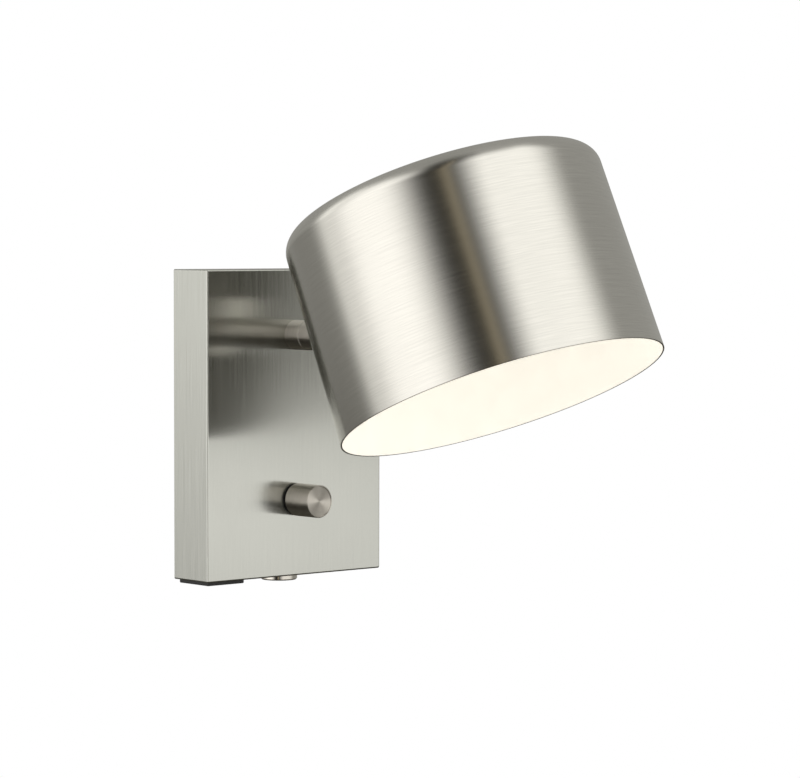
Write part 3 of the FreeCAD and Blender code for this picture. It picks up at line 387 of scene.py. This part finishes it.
def lathe(name, rows, place, materials, columns=TURN_COLUMNS):
    """A turned piece about +z, put where its matrix says. u runs round it and v along its rows."""
    turns = [2 * math.pi * n / columns for n in range(columns + 1)]
    reach = max(row.point.real for row in rows)
    spin = place.to_3x3().normalized()
    vertices = []
    starts = []
    for n, row in enumerate(rows):
        if n == len(rows) - 1 and abs(row.point - rows[0].point) < ON_AXIS:
            starts.append(starts[0])     # a closed section ends on its own first ring
            continue
        starts.append(len(vertices))
        if row.point.real < ON_AXIS:
            vertices.append(place @ Vector((0, 0, row.point.imag)))
            continue
        for turn in turns[:-1]:
            vertices.append(place @ Vector((row.point.real * math.cos(turn),
                                            row.point.real * math.sin(turn), row.point.imag)))
    faces = []
    slots = []
    uvs = []
    normals = []
    travelled = 0.0
    for n in range(len(rows) - 1):
        low, high = rows[n], rows[n + 1]
        step = abs(high.point - low.point)
        if step < ON_AXIS or max(low.point.real, high.point.real) < ON_AXIS:
            continue           # no face lies on the axis itself
        after = travelled + step
        for k in range(columns):
            quad = [(n, k, low.after, travelled), (n, k + 1, low.after, travelled),
                    (n + 1, k + 1, high.before, after), (n + 1, k, high.before, after)]
            if low.point.real < ON_AXIS:
                quad.pop(1)
            elif high.point.real < ON_AXIS:
                quad.pop(2)
            face = []
            for ring, column, facing, along in quad:
                pole = rows[ring].point.real < ON_AXIS
                face.append(starts[ring] + (0 if pole else column % columns))
                uvs.append((turns[column] * reach, along))
                normals.append(spin @ Vector((facing.real * math.cos(turns[column]),
                                              facing.real * math.sin(turns[column]),
                                              facing.imag)))
            faces.append(face)
            slots.append(low.slot)
        travelled = after
    return new_piece(name, vertices, faces, slots, uvs, normals, materials)


def cutter_object(bm):
    """Every face of a cutter has slot 1, so that what it cuts is known from the piece's skin."""
    mesh = mesh_of("cutter", bm)
    mesh.polygons.foreach_set("material_index", [1] * len(mesh.polygons))
    return placed("cutter", mesh)


def round_cutter(radius, length, place, radius_end=None):
    """A closed bar or cone about +z, put where its matrix says."""
    bm = bmesh.new()
    bmesh.ops.create_cone(bm, cap_ends=True, segments=CUTTER_SIDES, radius1=radius,
                          radius2=radius if radius_end is None else radius_end, depth=length)
    bmesh.ops.transform(bm, matrix=place @ Matrix.Translation((0, 0, length / 2)), verts=bm.verts)
    return cutter_object(bm)


def new_block(low, high):
    """A bmesh of a box between two corners."""
    bm = bmesh.new()
    bmesh.ops.create_cube(bm, size=1.0)
    size = Vector(high) - Vector(low)
    middle = (Vector(high) + Vector(low)) / 2
    bmesh.ops.transform(bm, matrix=Matrix.Translation(middle) @ Matrix.Diagonal((*size, 1)),
                        verts=bm.verts)
    return bm


def cut(piece, cutters):
    """Takes the cutters out of the piece, and deletes them."""
    for cutter in cutters:
        boolean = piece.modifiers.new("cut", "BOOLEAN")
        boolean.operation = "DIFFERENCE"
        boolean.solver = "EXACT"
        boolean.object = cutter
        boolean.material_mode = "INDEX"
    bpy.context.view_layer.update()
    seen = piece.evaluated_get(bpy.context.evaluated_depsgraph_get())
    whole = bpy.data.meshes.new_from_object(seen)
    piece.modifiers.clear()
    piece.data = whole
    for cutter in cutters:
        bpy.data.objects.remove(cutter)


def dress(piece, facing, strokes, materials):
    """Gives every corner of a cut piece its normal and its UV, from functions of place and face."""
    mesh = piece.data
    layer = mesh.uv_layers.get("strokes") or mesh.uv_layers.new(name="strokes")
    uvs = [0.0] * (2 * len(mesh.loops))
    normals = [None] * len(mesh.loops)
    for face in mesh.polygons:
        face.use_smooth = True
        for corner in face.loop_indices:
            point = mesh.vertices[mesh.loops[corner].vertex_index].co
            normals[corner] = facing(point, face)
            uvs[2 * corner:2 * corner + 2] = strokes(point, face)
    layer.data.foreach_set("uv", uvs)
    mesh.normals_split_custom_set(normals)
    slots = [face.material_index for face in mesh.polygons]
    mesh.materials.clear()               # which sets every face back to slot 0
    for material in materials:
        mesh.materials.append(material)
    mesh.polygons.foreach_set("material_index", slots)


def finish_piece(piece, body, slot, *nodes):
    """The piece rides on a body and stands for its CAD nodes, which are hidden; the slot argument
    is not used.
    """
    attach(piece, body)
    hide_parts(*nodes)


# ---------------------------------------------------------------- wall box

def box_cutters(low, high):
    """What is cut from the box's blank: its back, its inside, its holes and its countersinks."""
    past_low = low - Vector((1, 1, 1)) * CUT_REACH
    past_high = Vector((high.x + CUT_REACH, CUT_REACH, high.z + CUT_REACH))
    inner_low = low + Vector((1, 1, 1)) * BOX_SHEET
    inner_high = Vector((high.x - BOX_SHEET, CUT_REACH, high.z - BOX_SHEET))
    cutters = [cutter_object(new_block((past_low.x, high.y, past_low.z), past_high)),
               cutter_object(new_block(inner_low, inner_high))]
    for name, radius in (("arm_collar", ARM_HOLE), ("dimmer_body", DIMMER_HOLE)):
        part_low, part_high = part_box(name)
        centre = (part_low + part_high) / 2
        start = Vector((centre.x, low.y + 3 * BOX_SHEET, centre.z))
        cutters.append(round_cutter(radius, CUT_REACH, Matrix.Translation(start) @ FACING_OUT))
    switch_low, switch_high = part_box("switch_barrel")
    switch = (switch_low + switch_high) / 2
    below = Matrix.Translation((switch.x, switch.y, low.z - CUT_REACH / 2))
    cutters.append(round_cutter(BARREL_RADIUS, CUT_REACH, below))
    housing_low, housing_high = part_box("socket_housing")
    socket = (housing_low + housing_high) / 2
    corner = Vector((SOCKET_HOLE, SOCKET_HOLE, CUT_REACH))
    bottom = Vector((socket.x, socket.y, low.z))
    cutters.append(cutter_object(new_block(bottom - corner, bottom + corner)))
    screws_low, screws_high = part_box("cover_screws")
    head = (screws_high.y - screws_low.y) / 2 + HEAD_GAP
    screw_x = screws_high.x - head
    screw_y = (screws_low.y + screws_high.y) / 2
    for x in (-screw_x, screw_x):
        for end, way in ((high.z, FACING_DOWN), (low.z, Matrix.Identity(4))):
            # the cone starts outside the box, so that no face of it lies in the sheet's own
            place = (Matrix.Translation((x, screw_y, end)) @ way
                     @ Matrix.Translation((0, 0, -FOLD_RADIUS)))
            cutters.append(round_cutter(head + FOLD_RADIUS, FOLD_RADIUS + SINK_DEPTH, place,
                                        radius_end=head - SINK_DEPTH))
            cutters.append(round_cutter(SCREW_BORE, CUT_REACH, place))
    return cutters


def make_box():
    """The folded cover: a blank with rounded folds, hollowed and drilled."""
    low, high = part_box("box_cover")
    back = 2 * FOLD_RADIUS     # the blank runs on behind the wall plane, and is cut flush there
    bm = new_block(low, high + Vector((0, back, 0)))
    middle = (low.y + high.y + back) / 2
    folds = [edge for edge in bm.edges if any(vertex.co.y < middle for vertex in edge.verts)]
    bmesh.ops.bevel(bm, geom=folds, offset=FOLD_RADIUS, segments=FOLD_STEPS, profile=0.5,
                    affect="EDGES")
    skin = placed("box_skin", mesh_of("box_skin", bm))
    cut(skin, box_cutters(low, high))

    core_low = low + Vector((1, 1, 1)) * FOLD_RADIUS
    core_high = high - Vector((1, -1, 1)) * FOLD_RADIUS

    def facing(point, face):
        """Round over the folds, and flat elsewhere and in what is cut."""
        if face.material_index:
            return face.normal
        near = Vector([min(max(point[n], core_low[n]), core_high[n]) for n in range(3)])
        away = point - near
        return away.normalized() if away.length > NEARLY else face.normal

    def strokes(point, face):
        """Upright strokes, and on the top and bottom from front to back."""
        sides = [abs(value) for value in face.normal]
        if sides[2] > max(sides[0], sides[1]):
            return point.y, point.x
        return point.z, (point.x if sides[1] > sides[0] else point.y)

    dress(skin, facing, strokes, [nickel_box, zinc])
    finish_piece(skin, "wall_unit", "nickel_box", "box_cover")


# ---------------------------------------------------------------- arm

def make_arm():
    """The fixed collar on the box, and the tube that turns in front of it."""
    low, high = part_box("arm_collar")
    radius = (high.x - low.x) / 2
    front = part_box("box_cover")[0].y
    length = front - low.y
    stub = high.y - front
    rows = outline([(SPINDLE_BORE, -stub, 0, 0), (STUB_RADIUS, -stub, 0, 0),
                    (STUB_RADIUS, 0, 0, 0), (radius, 0, 0, 0),
                    (radius, length - ARM_CHAMFER, ARM_SOFTENING, 0),
                    (radius - ARM_CHAMFER, length, ARM_SOFTENING, 0),
                    (SPINDLE_BORE, length, 0, 0)], closed=True, steps=FINE_STEPS)
    place = Matrix.Translation((0, front, arm_centre.z)) @ FACING_OUT
    finish_piece(lathe("collar", rows, place, [nickel_arm]), "wall_unit", "nickel_arm",
                 "arm_collar")

    low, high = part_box("arm_tube")
    length = high.y - low.y
    rows = outline([(radius - ARM_WALL, 0, 0, 0), (radius - ARM_CHAMFER, 0, ARM_SOFTENING, 0),
                    (radius, ARM_CHAMFER, ARM_SOFTENING, 0), (radius, length, 0, 0),
                    (radius - ARM_WALL, length, 0, 0)], closed=True, steps=FINE_STEPS)
    place = ON_ARM @ Matrix.Translation((0, high.y, arm_centre.z)) @ FACING_OUT
    finish_piece(lathe("tube", rows, place, [nickel_arm]), "arm", "nickel_arm", "arm_tube")


# ---------------------------------------------------------------- shade

def shade_section():
    """The rows of the whole shell, from the mouth's lip up the outside and down the inside."""
    inner_top = SHADE_HEIGHT - SHADE_SHEET
    corners = [(SHADE_RADIUS - SHADE_SHEET, 0, SHADE_LIP, 1), (SHADE_RADIUS, 0, SHADE_LIP, 0),
               (SHADE_RADIUS - SHADE_DRAFT, SHADE_HEIGHT, SHADE_ROUND, 0),
               (0, SHADE_HEIGHT, 0, 2), (0, inner_top, 0, 2),
               (SHADE_RADIUS - SHADE_DRAFT - SHADE_SHEET, inner_top, SHADE_ROUND - SHADE_SHEET, 2)]
    return outline(corners, closed=True, steps=SHADE_ROUND_STEPS)


def slot_cutter():
    """A bar with round ends through the rear wall, where the arm passes."""
    start = SHADE_RADIUS - SLOT_REACH / 2
    bm = bmesh.new()
    ring = []
    for centre, first in ((SLOT_HIGH, 0), (SLOT_LOW, 180)):
        for step in range(SLOT_STEPS + 1):
            turn = math.radians(first + 180 / SLOT_STEPS * step)
            ring.append(bm.verts.new((SLOT_HALF * math.cos(turn), start,
                                      centre + SLOT_HALF * math.sin(turn))))
    cap = bm.faces.new(ring)
    pushed = bmesh.ops.extrude_face_region(bm, geom=[cap])
    moved = [item for item in pushed["geom"] if isinstance(item, bmesh.types.BMVert)]
    bmesh.ops.translate(bm, verts=moved, vec=(0, SLOT_REACH, 0))
    bmesh.ops.recalc_face_normals(bm, faces=bm.faces)
    return cutter_object(bm)


def make_shade():
    """The drum: nickel outside, bare steel at the lip and the slot, and white inside with painted
    lamplight.
    """
    finishes = [nickel_shade, steel, inside_painted_glow]
    skin = lathe("shade_skin", shade_section(), Matrix.Identity(4), finishes,
                 columns=SHADE_COLUMNS)
    cut(skin, [slot_cutter()])
    lean = math.hypot(1, SHADE_SLOPE)
    wall = complex(1 / lean, SHADE_SLOPE / lean)
    centre_r = SHADE_RADIUS - SHADE_DRAFT - SHADE_ROUND
    centre_h = SHADE_HEIGHT - SHADE_ROUND

    def facing(point, face):
        """The true drum's normal, and each face's own at the lip and in the slot."""
        if face.material_index == 1 or face.center.z < SHADE_LIP:
            return face.normal
        inside = face.material_index == 2
        inset = SHADE_SHEET if inside else 0.0
        out = math.hypot(point.x, point.y)
        if point.z > SHADE_HEIGHT - inset - FLUSH:
            turned = complex(0, 1)
        elif point.z > centre_h:
            turned = complex(out - centre_r, point.z - centre_h)
            turned /= abs(turned)
        else:
            turned = wall
        if inside:
            turned = -turned
        if out < NEARLY:
            return Vector((0, 0, turned.imag))
        return Vector((turned.real * point.x / out, turned.real * point.y / out, turned.imag))

    def strokes(point, face):
        """u runs round the drum, and v up its wall and in across its top."""
        middle = math.atan2(face.center.x, face.center.y)
        out = math.hypot(point.x, point.y)
        turn = math.atan2(point.x, point.y) if out > NEARLY else middle
        turn = middle + math.remainder(turn - middle, 2 * math.pi)
        return turn * SHADE_RADIUS, point.z - out

    dress(skin, facing, strokes, finishes)
    skin.data.transform(ON_HEAD)
    finish_piece(skin, "head", "nickel_shade", "shade")


# ---------------------------------------------------------------- knob, button and spring

def make_knob():
    """The knob, open at the back, with a dished face, and with its back face and foot ring black as
    painted shadow of the gap to the box.
    """
    low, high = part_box("dimmer_knob")
    radius = (high.x - low.x) / 2
    length = high.y - low.y
    shadow_ring_radius = radius - KNOB_STEP
    rim = radius - KNOB_RIM
    dish = length - KNOB_DISH
    # slot 1, black, is painted shadow of the gap behind the knob: its back face and the ring at its
    # foot
    rows = outline([(0, KNOB_RECESS_DEPTH, 0, 0), (KNOB_RECESS, KNOB_RECESS_DEPTH, 0, 0),
                    (KNOB_RECESS, 0, 0, 1), (shadow_ring_radius, 0, 0, 1), (shadow_ring_radius, KNOB_SHADOW_RING, 0, 0),
                    (radius, KNOB_SHADOW_RING, 0, 0), (radius, length - KNOB_EDGE, 0, 0),
                    (radius - KNOB_EDGE, length, 0, 0), (rim, length, 0, 0),
                    (rim - KNOB_SLOPE, dish, 0, 0), (0, dish, 0, 0)])
    place = Matrix.Translation((0, high.y, (low.z + high.z) / 2)) @ FACING_OUT
    finish_piece(lathe("knob", rows, place, [nickel_knob, black]), "dimmer_knob", "nickel_knob",
                 "dimmer_knob")


def make_switch():
    """The bezel with its barrel, and the button in it."""
    low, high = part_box("switch_barrel")
    radius = (high.x - low.x) / 2
    middle = (low + high) / 2
    height = high.z - low.z
    wide = BARREL_RADIUS - BARREL_WALL
    rows = outline([(BUTTON_BORE, 0, BEZEL_SOFTENING, 0),
                    (radius - BEZEL_CHAMFER, 0, BEZEL_SOFTENING, 0),
                    (radius, BEZEL_CHAMFER, BEZEL_SOFTENING, 0), (radius, BEZEL_HEIGHT, 0, 0),
                    (BARREL_RADIUS, BEZEL_HEIGHT, 0, 0), (BARREL_RADIUS, height, 0, 0),
                    (wide, height, 0, 0), (wide, BEZEL_LIP, 0, 0), (BUTTON_BORE, BEZEL_LIP, 0, 0)],
                   closed=True)
    place = Matrix.Translation((middle.x, middle.y, low.z))
    finish_piece(lathe("switch_bezel", rows, place, [nickel_button]), "wall_unit",
                 "nickel_button", "switch_barrel")

    low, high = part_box("switch_button")
    flange = (high.x - low.x) / 2
    length = high.z - low.z
    rows = outline([(0, 0, 0, 0), (BUTTON_RADIUS, 0, BUTTON_EDGE, 0),
                    (BUTTON_RADIUS, BUTTON_SHOULDER, 0, 0), (flange, BUTTON_SHOULDER, 0, 0),
                    (flange, length, 0, 0), (BUTTON_SKIRT, length, 0, 0),
                    (BUTTON_SKIRT, BUTTON_FLOOR, 0, 0), (0, BUTTON_FLOOR, 0, 0)])
    place = Matrix.Translation((middle.x, middle.y, low.z))
    finish_piece(lathe("button", rows, place, [nickel_button]), "push_button", "nickel_button",
                 "switch_button")


def make_spring():
    """The coil from the button's floor to the contact block, which the button squeezes."""
    low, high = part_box("switch_spring")
    middle = (low + high) / 2
    wire = SPRING_WIRE / 2
    coil = (high.x - low.x) / 2 - wire
    rise = high.z - low.z - SPRING_WIRE
    steps = SPRING_TURNS * SPRING_STEPS
    bm = bmesh.new()
    rings = []
    for step in range(steps + 1):
        turn = 2 * math.pi * step / SPRING_STEPS
        outward = Vector((math.cos(turn), math.sin(turn), 0))
        centre = coil * outward + Vector((middle.x, middle.y, low.z + wire + rise * step / steps))
        ring = []
        for side in range(SPRING_SIDES):
            around = 2 * math.pi * side / SPRING_SIDES
            away = math.cos(around) * outward + math.sin(around) * Vector((0, 0, 1))
            ring.append(bm.verts.new(centre + wire * away))
        rings.append(ring)
    for ring, following in zip(rings, rings[1:]):
        for side in range(SPRING_SIDES):
            other = (side + 1) % SPRING_SIDES
            quad = (ring[side], ring[other], following[other], following[side])
            bm.faces.new(quad).smooth = True
    bm.faces.new(rings[0])
    bm.faces.new(rings[-1])
    bmesh.ops.recalc_face_normals(bm, faces=bm.faces)
    spring = placed("spring", mesh_of("spring", bm))
    spring.data.materials.append(steel)
    finish_piece(spring, "wall_unit", "screw_steel", "switch_spring")
    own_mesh(spring)


def dress_cad_nodes():
    """The CAD nodes whose shapes stay, each with its own finish, and steel for all the others."""
    finishes = {
        zinc: ["wall_plate", "backing_plate", "shade_carrier"],
        brass: ["earth_screw", "terminal_screws", "lamp_pins"],
        nylon: ["terminal_block", "swivel_washer", "tilt_friction_washers", "socket_tongue"],
        black: ["socket_housing", "dimmer_body", "switch_contact_block"],
        board: ["dimmer_board", "converter_board"],
        dark: ["dimmer_components", "converter_components"],
        sheath: ["lamp_lead", "lamp_lead_head", "dimmer_leads", "socket_lead", "switch_leads"],
        lamp_white: ["lamp_body", "lamp_holder"],
        frosted: ["lamp_cover"],
        nickel_arm: ["arm_knuckle"],
    }
    named = {name: material for material, names in finishes.items() for name in names}
    for name, part in frame["nodes"].items():
        part.data.materials.clear()
        part.data.materials.append(named.get(name, steel))


# ---------------------------------------------------------------- studio

DIM = (0.36, 0.355, 0.33, 1)   # the surroundings where no card is
CARDS = [
    # middle, half size and soft edge in degrees of azimuth and elevation, and the colour
    ((0, -60), (400, 50), (1, 6), (0.075, 0.07, 0.058)),
    ((-45, 15), (33, 60), (9, 15), (0.030, 0.028, 0.024)),
    ((-43.5, 20), (3.0, 40), (1.4, 10), (0.38, 0.325, 0.225)),
    ((-140, 20), (6, 23), (10, 9), (1.60, 1.58, 1.50)),
    ((-101.5, 15), (26.5, 33), (17, 12), (1.45, 1.42, 1.36)),
    ((11, 25), (37.5, 34), (16, 8), (1.30, 1.28, 1.22)),
    ((42, 5), (17, 8.3), (5, 0.7), (0.28, 0.275, 0.25)),
]
FLOOR_RADIUS = 6.0
FLOOR_BELOW = 1.8
FLOOR_SIDES = 96
FLOOR_COLOUR = (0.95, 0.95, 0.95, 1)
CAMERA_TURN = (-41.899, 4.438, 0.169)    # azimuth, elevation and roll in degrees
CAMERA_TARGET = (92.76, 0, -33.72)       # mm
CAMERA_DISTANCE = 1647.9 * MM
CAMERA_SENSOR = 36.0                     # mm
CAMERA_LENS = 144.01                     # mm
CAMERA_SHIFT = (-0.0018, 0.1125)         # shares of the frame's width


def card_mask(tree, azimuth, elevation, middle, half, soft):
    """1 on a card of the studio and 0 off it, with soft edges."""
    masks = []
    for n, angle in enumerate((azimuth, elevation)):
        away = calc(tree, "ABSOLUTE", calc(tree, "SUBTRACT", angle, middle[n]))
        masks.append(node(tree, "MapRange", [away, half[n] - soft[n], half[n] + soft[n], 1.0, 0.0],
                          interpolation_type="SMOOTHSTEP").outputs[0])
    return calc(tree, "MULTIPLY", *masks)


def make_world():
    """Soft cards round the lamp light it and are mirrored in it. The camera sees plain white."""
    world = bpy.data.worlds.new("studio")
    bpy.context.scene.world = world
    world.use_nodes = True
    tree = world.node_tree
    tree.nodes.clear()
    way = node(tree, "SeparateXYZ", [node(tree, "TexCoord").outputs["Generated"]])
    x, y, z = way.outputs
    azimuth = calc(tree, "DEGREES", calc(tree, "ARCTAN2", x, calc(tree, "MULTIPLY", y, -1.0)))
    elevation = calc(tree, "DEGREES", calc(tree, "ARCSINE", z))
    light = node(tree, "RGB").outputs[0]
    light.default_value = DIM
    for middle, half, soft, colour in CARDS:
        mask = card_mask(tree, azimuth, elevation, middle, half, soft)
        mixed = node(tree, "Mix", {"Factor": mask, 6: light, 7: (*colour, 1)}, data_type="RGBA")
        light = mixed.outputs[2]         # sockets 6, 7 and 2 are the colours A, B and the result
    studio = node(tree, "Background", [light, 1.0]).outputs[0]
    white = node(tree, "Background", [(1, 1, 1, 1), 1.0]).outputs[0]
    seen = node(tree, "LightPath").outputs["Is Camera Ray"]
    shown = node(tree, "MixShader", [seen, studio, white]).outputs[0]
    node(tree, "OutputWorld", [shown])


def make_floor():
    """A plain pale floor well below the lamp, which hangs on a wall."""
    bm = bmesh.new()
    bmesh.ops.create_circle(bm, cap_ends=True, segments=FLOOR_SIDES, radius=FLOOR_RADIUS)
    bmesh.ops.translate(bm, verts=bm.verts, vec=(0, 0, -FLOOR_BELOW))
    floor = placed("floor", mesh_of("floor", bm))
    floor.data.materials.append(blank("pale_floor", Base_Color=FLOOR_COLOUR, Roughness=0.7)[0])
    floor.visible_glossy = False         # the lamp mirrors the dim room below it


def make_camera():
    """The photograph's view, fitted to the box's corners and the mouth's rim."""
    azimuth, elevation, roll = (math.radians(angle) for angle in CAMERA_TURN)
    back = Vector((math.sin(azimuth) * math.cos(elevation),
                   -math.cos(azimuth) * math.cos(elevation), math.sin(elevation)))
    right = (-back).cross(Vector((0, 0, 1))).normalized()
    up = right.cross(-back)
    rolled_right = math.cos(roll) * right + math.sin(roll) * up
    rolled_up = math.cos(roll) * up - math.sin(roll) * right
    data = bpy.data.cameras.new("camera")
    data.sensor_width = CAMERA_SENSOR
    data.lens = CAMERA_LENS
    data.shift_x, data.shift_y = CAMERA_SHIFT
    camera = placed("camera", data)
    camera.matrix_world = (Matrix.Translation(Vector(CAMERA_TARGET) * MM + back * CAMERA_DISTANCE)
                           @ Matrix((rolled_right, rolled_up, back)).transposed().to_4x4())
    bpy.context.scene.camera = camera


dress_cad_nodes()
make_box()
make_arm()
make_shade()
make_knob()
make_switch()
make_spring()
make_world()
make_floor()
make_camera()
bpy.context.scene.view_settings.view_transform = "Standard"

bpy.context.view_layer.update()
